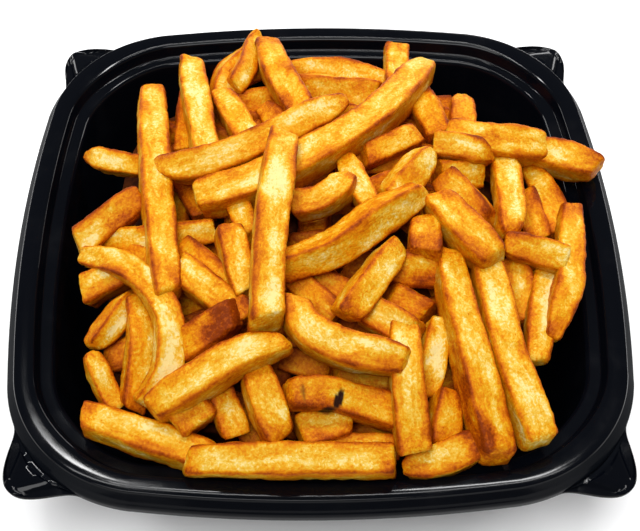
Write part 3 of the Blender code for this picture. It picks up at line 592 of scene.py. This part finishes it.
def shapeFry(mesh, line, half, shareA, shareB, turn, look, draw):
    # bends a copied bar along its line, rounds it, makes it uneven and paints it
    brownAndShade, pale, crispA, crispB, ends = look
    raw = np.empty(len(mesh.vertices) * 3)
    mesh.vertices.foreach_get("co", raw)
    raw = raw.reshape(-1, 3)
    middle = rows(bent(line, heap["lineParts"]))
    steps = np.linalg.norm(np.diff(middle, axis=0), axis=1)
    reach = np.concatenate([[0.0], np.cumsum(steps)])
    length = reach[-1]
    t = (raw[:, 0] + 1.0) / 2.0
    squeeze = 1.25                                     # closer rows near the edges
    flat = np.sin(raw[:, 1:] * squeeze) / sin(squeeze)
    share = np.ones(len(t))
    taper = min(heap["endShare"], heap["taperReach"] / length)
    for value, distance in ((shareA, t), (shareB, 1.0 - t)):
        share *= value + (1.0 - value) * np.sin(np.clip(distance / taper, 0.0, 1.0) * pi / 2)
    share *= 1.0 + heap["wobble"] * np.sin(t * draw.uniform(5.0, 9.0) + draw.uniform(0.0, 6.0))
    h = half * share
    x, distanceA = t * length, t * length
    distanceB = length - x
    # rounding, wider towards the ends
    formA, formB = endForms[ends[0]], endForms[ends[1]]
    plain = heap["faceRounding"] + draw.uniform(-heap["roundingSpread"], heap["roundingSpread"])
    across = plain + ((formA[1] - plain) * np.exp(-distanceA / heap["roundingFade"])
                      + (formB[1] - plain) * np.exp(-distanceB / heap["roundingFade"]))
    radius = np.clip(across, 0.1, 0.9) * h
    endA, endB = formA[0] * half * shareA, formB[0] * half * shareB
    near = np.where(distanceA < length / 2, endA, endB)
    innerX = np.clip(x, endA, length - endB)
    inner = np.clip(flat * h[:, None], -(h - radius)[:, None], (h - radius)[:, None])
    off = np.column_stack([(x - innerX) / near, (flat * h[:, None] - inner) / radius[:, None]])
    normal = unit(off)
    x = innerX + normal[:, 0] * near
    side = inner + normal[:, 1:] * radius[:, None]
    # faces that are not quite flat, and end cuts that stand askew
    crowned = heap["crowned"] * draw.uniform(-1.0, 1.6)
    for one, other in ((0, 1), (1, 0)):
        facing = np.abs(normal[:, 1 + one]) ** 3
        side[:, one] += np.sign(flat[:, one]) * facing * crowned * h * (1.0 - flat[:, other] ** 2)
    for distance, way in ((distanceA, 1.0), (distanceB, -1.0)):
        fade = np.exp(-distance / heap["slantFade"])
        slants = [draw.uniform(-heap["slant"], heap["slant"]) for _ in range(2)]
        x += way * fade * (side[:, 0] * slants[0] + side[:, 1] * slants[1])
    # uneven crust
    shift = draw.uniform(0.0, 500.0)
    place = np.column_stack([x, side])
    swell = (heap["lumps"] * lumps(place, heap["lumpSize"], shift)
             + heap["ripple"] * lumps(place, heap["rippleSize"], shift + 40.0))
    ragged = (np.exp(-distanceA / heap["raggedFade"]) * crispA
              + np.exp(-distanceB / heap["raggedFade"]) * crispB)
    swell += heap["ragged"] * ragged * lumps(place, heap["raggedSize"], shift + 90.0)
    place = place + unit(normal) * swell[:, None]
    # along the line
    at = np.clip(place[:, 0], 0.0, length)
    centre = np.column_stack([np.interp(at, reach, middle[:, axis]) for axis in range(3)])
    tangent = np.gradient(middle, axis=0)
    ahead = unit(np.column_stack([np.interp(at, reach, tangent[:, axis]) for axis in range(3)]))
    centre += ahead * (place[:, 0] - at)[:, None]
    eye = np.array(heap["eye"])
    sight = eye - centre
    up = unit(sight - ahead * np.sum(sight * ahead, axis=1, keepdims=True))
    right = np.cross(ahead, up)
    angle = turn + radians(heap["twist"]) * (at / length - 0.5) * draw.uniform(-1.0, 1.0)
    cosine, sine = np.cos(angle)[:, None], np.sin(angle)[:, None]
    nearer = (1.0 - centre[:, 2] / eye[2])[:, None]
    spot = centre + nearer * (place[:, 1:2] * (right * cosine + up * sine)
                              + place[:, 2:3] * (up * cosine - right * sine))
    # paint: how toasted (with painted shade in it), how pale, how burnt, how crisp
    fromEdge = np.min(np.abs(flat), axis=1)
    grain = lumps(place, cooking["grainSize"], shift + 140.0)
    streak = lumps(place * (0.4, 1.0, 1.0), cooking["streakSize"], shift + 200.0)
    crisp = np.clip(crispA * smoothStep(1.2 - distanceA / cooking["crispReach"] + 0.6 * grain)
                    + crispB * smoothStep(1.2 - distanceB / cooking["crispReach"] + 0.6 * grain),
                    0.0, 1.0)
    # painted shade: the further a place lies below the heap's even top, the darker and redder it is
    # painted
    deep = np.clip((crownHeight(spot[:, 0], spot[:, 1]) - spot[:, 2]) / cooking["deepReach"], 0.0, 1.0)
    # painted shade: the faces that stand left and right as seen from the eye are painted darker and kept
    # free of pale patches
    sideShade = rising(np.abs(flat[:, 0]), cooking["sideShadeZone"])
    # the broad edge term is partly real browning at the edges and partly painted shade, darkening each
    # face from its middle out
    toastAndShade = (cooking["start"] + cooking["brownAndShade"] * brownAndShade + cooking["deep"] * deep
             + cooking["edge"] * rising(fromEdge, cooking["edgeZone"]) * (0.9 + 1.2 * grain)
             + cooking["rib"] * rising(fromEdge, cooking["ribZone"]) * (1.0 + 0.8 * streak)
             + cooking["side"] * sideShade
             + cooking["crisp"] * crisp + cooking["streak"] * streak)
    patch = lumps(place * (0.5, 1.0, 1.0), cooking["paleSize"], shift + 300.0)
    light = pale * smoothStep(0.45 + 1.5 * patch)
    light *= (1.0 - rising(fromEdge, cooking["paleEnd"])) * (1.0 - sideShade)
    burn = np.zeros(len(t))
    seen = spot + (eye - spot) * (-spot[:, 2] / (eye[2] - spot[:, 2]))[:, None]
    for (markX, markY), (reachX, reachY), slant, kind, strength in marks:
        dx, dy = seen[:, 0] - markX, seen[:, 1] - markY
        c, s = cos(radians(slant)), sin(radians(slant))
        away = np.sqrt(((dx * c + dy * s) / reachX) ** 2 + ((dy * c - dx * s) / reachY) ** 2)
        touch = strength * smoothStep(1.5 - away + 0.6 * grain)
        if kind == "burn":
            burn = np.maximum(burn, touch)
        elif kind == "crust":
            toastAndShade += cooking["crustMark"] * touch
            crisp = np.clip(np.maximum(crisp, touch), 0.0, 1.0)
        else:
            light = np.maximum(light, touch)
            toastAndShade -= cooking["paleMark"] * touch
    mesh.vertices.foreach_set("co", ((spot + (0.0, 0.0, heap["rimHeight"])) * millimetre).ravel())
    paint = mesh.attributes.new("fryPaint", "FLOAT_COLOR", "POINT")
    values = np.column_stack([np.clip(toastAndShade, 0.0, 1.0), light, burn, crisp])
    paint.data.foreach_set("color", values.ravel())
    grainPlace = mesh.attributes.new("fryPlace", "FLOAT_VECTOR", "POINT")
    grainPlace.data.foreach_set("vector", (place + (shift, 0.0, 0.0)).ravel())
    mesh.update()


underLayer = {                # the layer below, half sunk in the core
    "rows": (-68.0, -44.0, -18.0, 10.0, 36.0, 56.0), "columns": (-52.0, -28.0, 0.0, 28.0, 52.0),
    "corner": 45.0, "length": (38.0, 50.0), "shares": (0.85, 0.9), "turn": 11.0, "seed": 11,
    # their brownness stands high: painted shade of the low layer
    "side": 11.0, "brownAndShade": 0.9, "look": (0.1, 0.6, 0.6, "bs"),
    "alongParts": (22,), "aroundParts": 6,
    "clearance": 0.7, "wallLean": 0.2, "cornerPower": 5,       # how its fries keep off the tray's wall
}
# between those lie more, which only show in the gaps
fillLayer = {
    "rows": (-58.0, -34.0, -8.0, 20.0, 46.0, 70.0), "columns": (-42.0, -16.0, 14.0, 42.0),
    # their brownness stands higher still: painted shade in the gaps
    "length": (26.0, 36.0), "seed": 4, "brownAndShade": 1.1, "sunk": 2.5,
}


def makeBars(name, counts, aroundParts):
    return {count: rawFry(f"{name}{count}", count, aroundParts) for count in counts}


fineBars = makeBars("rawFry", heap["alongParts"], heap["aroundParts"])
coarseBars = makeBars("lowFry", underLayer["alongParts"], underLayer["aroundParts"])


def layFry(name, line, half, shareA, shareB, turn, look, draw, bars):
    stations = bent(line, heap["measureParts"])
    length = sum((after - before).length for before, after in zip(stations, stations[1:]))
    wanted = length / heap["spacing"]
    bar = bars[min(bars, key=lambda count: abs(count - wanted))]
    piece = bpy.data.objects.new(name, bar.data.copy())
    bpy.context.collection.objects.link(piece)
    shapeFry(piece.data, line, half, shareA, shareB, turn, look, draw)
    return piece


def seenFry(number, row):
    seen, layerA, layerB, width, shareA, shareB, turn, *look = row
    spans = len(seen) - 1
    line = [alongSight(x, y, overRim(x, y, layerA + (layerB - layerA) * index / spans))
            for index, (x, y) in enumerate(seen)]
    angle = radians(turn)
    half = width / (cos(angle) + (1.0 - 2 * heap["edgeCut"]) * sin(angle)) / 2
    draw = Random(heap["seed"] + number)
    return layFry(f"fry{number:02d}", line, half, shareA, shareB, angle, look, draw, fineBars)


core = {                      # share of the rim's outline, depth below the rim
    "steps": ((0.66, 48.9), (0.72, 30.0), (0.72, 13.0), (0.60, 5.0), (0.42, -1.0), (0.20, -4.0)),
    "edgeParts": 4,           # one corner for so many of the rim's
    # the colours are near black: painted shade for the gaps between the fries
    "darkColour": (0.022, 0.004, 0.001), "lightColour": (0.085, 0.018, 0.002), "grainScale": 160.0,
    "roughness": 0.7, "specular": 0.05, "bump": 0.8, "bumpDepth": 0.002,
}


def coreHeight(x, y):
    # the core's top there, over the rim
    reach = max(abs(x), abs(y)) / tray["halfWidth"]
    slope = core["steps"][2:]
    for (outer, low), (inner, high) in zip(slope, slope[1:]):
        if reach > inner:
            share = min(1.0, (outer - reach) / (outer - inner))
            return -(low + (high - low) * share)
    return -slope[-1][1]


def held(end):
    # an end of a low fry comes in until it clears the tray's wall
    room = tray["halfWidth"] - tray["wallTop"] - underLayer["side"] * underLayer["clearance"]
    if end.z < 0.0:
        room -= abs(end.z) * underLayer["wallLean"]
    power = underLayer["cornerPower"]
    reach = (abs(end.x) ** power + abs(end.y) ** power) ** (1 / power)
    if reach <= room:
        return end
    return Vector((end.x * room / reach, end.y * room / reach, end.z))


def underFries(layer):
    draw = Random(layer["seed"])
    laid = []
    for y in layer["rows"]:
        for x in layer["columns"]:
            heading = draw.uniform(0.0, pi)
            halfLength = draw.uniform(*layer["length"]) / 2
            if abs(x) > underLayer["corner"] and y > underLayer["corner"]:
                continue
            ahead = Vector((cos(heading), sin(heading), 0.0))
            centre = Vector((x, y, coreHeight(x, y) - layer.get("sunk", 0.0)))
            ends = [centre + ahead * halfLength * way for way in (-1, 1)]
            for end in ends:
                end.z = (end.z + coreHeight(end.x, end.y)) / 2
            ends = [held(end) for end in ends]
            laid.append(layFry(f"underFry{len(laid):02d}", ends, underLayer["side"] / 2,
                               *underLayer["shares"], radians(underLayer["turn"]),
                               (layer["brownAndShade"], *underLayer["look"]),
                               Random(100 * layer["seed"] + len(laid)), coarseBars))
    return laid


def joined(name, parts):
    deselectAll()
    for part in parts:
        part.select_set(True)
    bpy.context.view_layer.objects.active = parts[0]
    bpy.ops.object.join()
    piece = bpy.context.object
    piece.name = name
    bpy.ops.object.mode_set(mode="EDIT")
    faceOutward()
    bpy.ops.object.shade_smooth()
    return piece


def makeCore():
    # the lump of potato that the fries lie on, standing for the fries further down; its near-black finish
    # is painted shade for the gaps
    outline = [corner[0] for corner in trayOutline()[::core["edgeParts"]]]
    rings = [[Vector((place.x * share, place.y * share, tray["height"] - drop)) * millimetre
              for place in outline] for share, drop in core["steps"]]
    piece = ringPiece("heapCore", rings)
    bpy.ops.mesh.fill_holes(sides=0)
    faceOutward()
    piece.data.attributes.remove(piece.data.attributes["order"])
    return piece


# the toast scale also carries painted shade
toastColours = (              # linear colours along the toast scale
    (0.00, (0.75, 0.60, 0.24)), (0.13, (0.70, 0.44, 0.058)), (0.27, (0.65, 0.31, 0.007)),
    (0.42, (0.60, 0.20, 0.002)), (0.58, (0.50, 0.125, 0.001)), (0.76, (0.36, 0.066, 0.001)),
    (1.00, (0.19, 0.028, 0.001)),
)


crust = {                     # scales are per millimetre of a fry's own places
    "mottleScale": 0.27, "cloudScale": 0.62, "fineScale": 1.15, "speckScale": 0.5, "blisterScale": 0.5,
    "mottle": 0.98, "cloud": 0.62, "fine": 0.40, "crispFine": 0.4, "specks": 0.24, "pale": 0.15,
    "burnColour": (0.020, 0.006, 0.003), "roughness": 0.34, "fineRoughness": 0.24, "specular": 0.06,
    "bump": 0.5, "bumpDepth": 0.0010, "seeThrough": 0.06, "seeDepth": 0.0025,
}


def friedPotato():
    finish = Finish("friedPotato")
    paint = finish.add("ShaderNodeAttribute", {"attribute_name": "fryPaint"}, {})
    crisp = Signal(finish, paint.socket.node.outputs["Alpha"])
    parts = finish.add("ShaderNodeSeparateColor", {}, {"Color": paint})
    outs = parts.socket.node.outputs
    toastAndShade, light, burn = (Signal(finish, outs[number]) for number in range(3))
    place = finish.add("ShaderNodeAttribute", {"attribute_name": "fryPlace"}, {}, output=1)
    longPlace = finish.add("ShaderNodeVectorMath", {"operation": "MULTIPLY"},
                           {0: place, 1: (0.4, 1.0, 1.0)})
    mottle = finish.add("ShaderNodeTexNoise", {}, {
        "Vector": longPlace, "Scale": crust["mottleScale"], "Detail": 5.0, "Roughness": 0.6,
        "Distortion": 0.4})
    cloud = finish.add("ShaderNodeTexNoise", {}, {
        "Vector": place, "Scale": crust["cloudScale"], "Detail": 3.0, "Roughness": 0.5,
        "Distortion": 1.2})
    fine = finish.add("ShaderNodeTexNoise", {}, {
        "Vector": place, "Scale": crust["fineScale"], "Detail": 4.0, "Roughness": 0.62})
    speck = finish.add("ShaderNodeTexVoronoi", {"feature": "F1"},
                       {"Vector": place, "Scale": crust["speckScale"]})
    blister = finish.add("ShaderNodeTexVoronoi", {"feature": "SMOOTH_F1"},
                         {"Vector": place, "Scale": crust["blisterScale"], "Smoothness": 0.5})
    dots = finish.smooth(0.20 - speck, 0.0, 0.14) * finish.smooth(fine, 0.50, 0.62)
    level = (toastAndShade + crust["mottle"] * (mottle - 0.5) + crust["cloud"] * (cloud - 0.5)
             + (crust["fine"] + crust["crispFine"] * crisp) * (fine - 0.5) + crust["specks"] * dots
             - crust["pale"] * light * (1.0 + 3.0 * (mottle - 0.5)))
    colour = finish.add("ShaderNodeValToRGB", {"stops": toastColours}, {"Fac": level.clamped()})
    colour = finish.blend(finish.smooth(burn, 0.10, 0.85), colour, crust["burnColour"])
    relief = finish.add("ShaderNodeBump", {}, {
        "Strength": crust["bump"], "Distance": crust["bumpDepth"],
        "Height": 0.6 * fine + 0.5 * mottle - 0.4 * blister * (0.3 + crisp)})
    return finish.set(Base_Color=colour, Roughness=crust["roughness"] + crust["fineRoughness"] * fine,
                      Normal=relief, Specular_IOR_Level=crust["specular"],
                      Subsurface_Weight=crust["seeThrough"], Subsurface_Radius=(1.0, 0.42, 0.10),
                      Subsurface_Scale=crust["seeDepth"])


def deepPotato():
    # painted shade: a near-black brown, so that the core reads as the shade in the gaps between the fries
    finish = Finish("deepPotato")
    place = finish.add("ShaderNodeTexCoord", {}, {}, output=3)
    mottle = finish.add("ShaderNodeTexNoise", {}, {"Vector": place, "Scale": core["grainScale"],
                                                   "Detail": 5.0})
    relief = finish.add("ShaderNodeBump", {}, {"Strength": core["bump"], "Distance": core["bumpDepth"],
                                               "Height": mottle})
    colour = finish.blend(finish.smooth(mottle, 0.35, 0.65), core["darkColour"], core["lightColour"])
    return finish.set(Base_Color=colour, Roughness=core["roughness"],
                      Specular_IOR_Level=core["specular"], Normal=relief)


kinds = {"squaredFries": [], "bluntFries": [], "taperedFries": []}
for number, row in enumerate(fryTable):
    kind = "squaredFries" if row[-1] == "ss" else "taperedFries" if "t" in row[-1] else "bluntFries"
    kinds[kind].append(seenFry(number, row))
kinds["underFries"] = underFries(underLayer) + underFries(fillLayer)
potato = friedPotato()
for name, parts in kinds.items():
    piece = joined(name, parts)
    piece.data.materials.clear()
    piece.data.materials.append(potato)
    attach(piece, "root")
    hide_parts("fries")
    triangles = sum(len(face.vertices) - 2 for face in piece.data.polygons)
    print(name + ":", len(parts), "fries,", triangles, "triangles")
heapCore = makeCore()
heapCore.data.materials.append(deepPotato())
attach(heapCore, "root")
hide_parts("fries")
for bar in (*fineBars.values(), *coarseBars.values()):
    bpy.data.objects.remove(bar)
print("heap done")


stage = {                     # metres, watts and degrees
    "floorSize": 6.0, "floorDrop": 0.0002, "floorColour": (0.93, 0.93, 0.935), "floorShade": 0.995,
    "sunStrength": 2.42, "sunSoftness": 34.0, "sunTilt": (19.0, -10.0),      # tilt about x and y
    "skyStrength": 0.17,
    "aim": (0, 0, 0.05),      # where the panels look
    "panels": {
        "backPanel": {"place": (0.33, 1.16, 0.50), "size": (0.50, 0.26), "watts": 4.8},
        "leftPanel": {"place": (-0.95, 0.84, 0.55), "size": (0.50, 0.22), "watts": 4.0},
        "rightPanel": {"place": (0.95, 0.84, 0.55), "size": (0.50, 0.22), "watts": 4.0},
        "cornerPanel": {"place": (-0.27, 0.49, 1.08), "size": (0.10, 0.042), "watts": 1.4},
        "edgePanel": {"place": (0.23, 0.415, 1.12), "size": (0.26, 0.05), "watts": 2.8},
        "frontPanel": {"place": (-0.09, 0.405, 1.12), "size": (0.36, 0.022), "watts": 1.7},
        "topPanel": {"place": (0.0, 0.28, 1.12), "size": (0.80, 0.03), "watts": 2.0},
    },
}


def makeFloor():
    deselectAll()
    bpy.ops.mesh.primitive_plane_add(size=stage["floorSize"], location=(0, 0, -stage["floorDrop"]))
    floor = bpy.context.object
    floor.name = "studioFloor"
    bpy.ops.object.transform_apply(location=True, rotation=True, scale=True)
    finish = Finish("paleFloor")
    place = finish.add("ShaderNodeTexCoord", {}, {}, output=3)
    cloud = finish.add("ShaderNodeTexNoise", {}, {"Vector": place, "Scale": 3.0, "Detail": 2.0})
    shade = finish.blend(finish.smooth(cloud, 0.3, 0.7), stage["floorColour"],
                         tuple(value * stage["floorShade"] for value in stage["floorColour"]))
    floor.data.materials.append(finish.set(Base_Color=shade, Roughness=0.9))


def makeLights():
    world = bpy.data.worlds.new("studioSky")
    world.use_nodes = True
    sky = world.node_tree.nodes["Background"]
    sky.inputs["Color"].default_value = (1.0, 1.0, 1.0, 1.0)
    sky.inputs["Strength"].default_value = stage["skyStrength"]
    bpy.context.scene.world = world
    sun = bpy.data.lights.new("softSun", "SUN")
    sun.energy = stage["sunStrength"]
    sun.angle = radians(stage["sunSoftness"])
    lamp = bpy.data.objects.new("softSun", sun)
    lamp.rotation_euler = (radians(stage["sunTilt"][0]), radians(stage["sunTilt"][1]), 0.0)
    bpy.context.collection.objects.link(lamp)
    for name, values in stage["panels"].items():
        panel = bpy.data.lights.new(name, "AREA")
        panel.shape = "RECTANGLE"
        panel.size, panel.size_y = values["size"]
        panel.energy = values["watts"]
        lamp = bpy.data.objects.new(name, panel)
        place = Vector(values["place"])
        lamp.location = place
        lamp.rotation_euler = (Vector(stage["aim"]) - place).to_track_quat("-Z", "Y").to_euler()
        bpy.context.collection.objects.link(lamp)


shot = {                      # the photograph's view
    "elevation": 53.857, "turn": -0.027, "roll": 0.0123, "distance": 431.23,
    "target": (0.54, -15.31, 50.0), "lens": 69.21,
}


def makeCamera():
    angle = radians(shot["elevation"])
    back = Vector((0.0, -cos(angle), sin(angle)))
    right = Vector((1.0, 0.0, 0.0))
    up = back.cross(right)
    c, s = cos(shot["roll"]), sin(shot["roll"])
    right, up = right * c + up * s, up * c - right * s
    place = Vector((shot["target"][0], shot["target"][1], 0.0)) + back * shot["distance"]
    turn = Matrix.Rotation(shot["turn"], 3, "Z")
    place = turn @ place + Vector((0.0, 0.0, shot["target"][2]))
    lens = bpy.data.cameras.new("photoCamera")
    lens.lens = shot["lens"]
    lens.sensor_width = 36.0
    lens.clip_start = 0.01
    camera = bpy.data.objects.new("photoCamera", lens)
    look = Matrix((turn @ right, turn @ up, turn @ back)).transposed().to_4x4()
    look.translation = place * millimetre
    camera.matrix_world = look
    bpy.context.collection.objects.link(camera)
    bpy.context.scene.camera = camera


makeFloor()
makeLights()
makeCamera()
bpy.context.scene.view_settings.view_transform = "Standard"
print("stage done")
